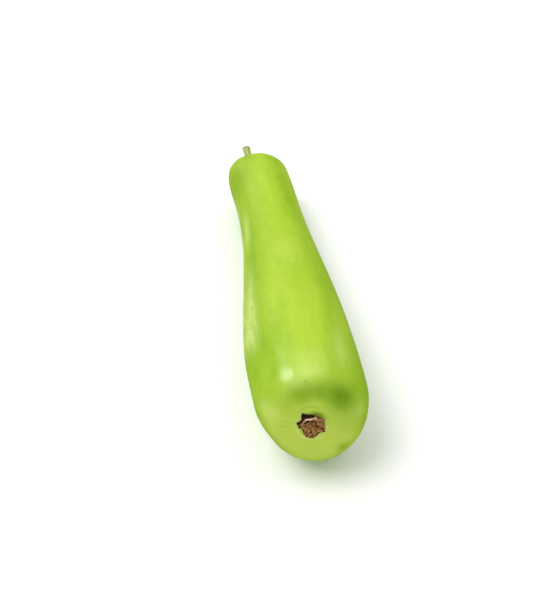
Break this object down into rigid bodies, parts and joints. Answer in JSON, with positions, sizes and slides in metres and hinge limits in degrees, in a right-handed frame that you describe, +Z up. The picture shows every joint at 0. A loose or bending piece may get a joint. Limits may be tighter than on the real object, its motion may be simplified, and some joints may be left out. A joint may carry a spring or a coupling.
{
  "type": "bottle gourd",
  "caption": "Whole long bottle gourd with a short cut stem and a corky blossom scar, lying on its belly.",
  "frame": {"origin": "on the table, below the middle of the gourd's bounding box", "axes": "+X along the gourd, towards the blossom end; +Z up, away from the table"},
  "size_m": [0.4208, 0.0938, 0.0968],
  "materials": {
    "skin": "satin waxy rind, yellow-green, paler at the blossom end",
    "stem_bark": "matt ribbed green stem with a dry cut end",
    "cork": "matt dry brown cork"
  },
  "bodies": {
    "root": {"fruit": "skin", "stem": "stem_bark", "blossom_scar": "cork"}
  },
  "joints": []
}
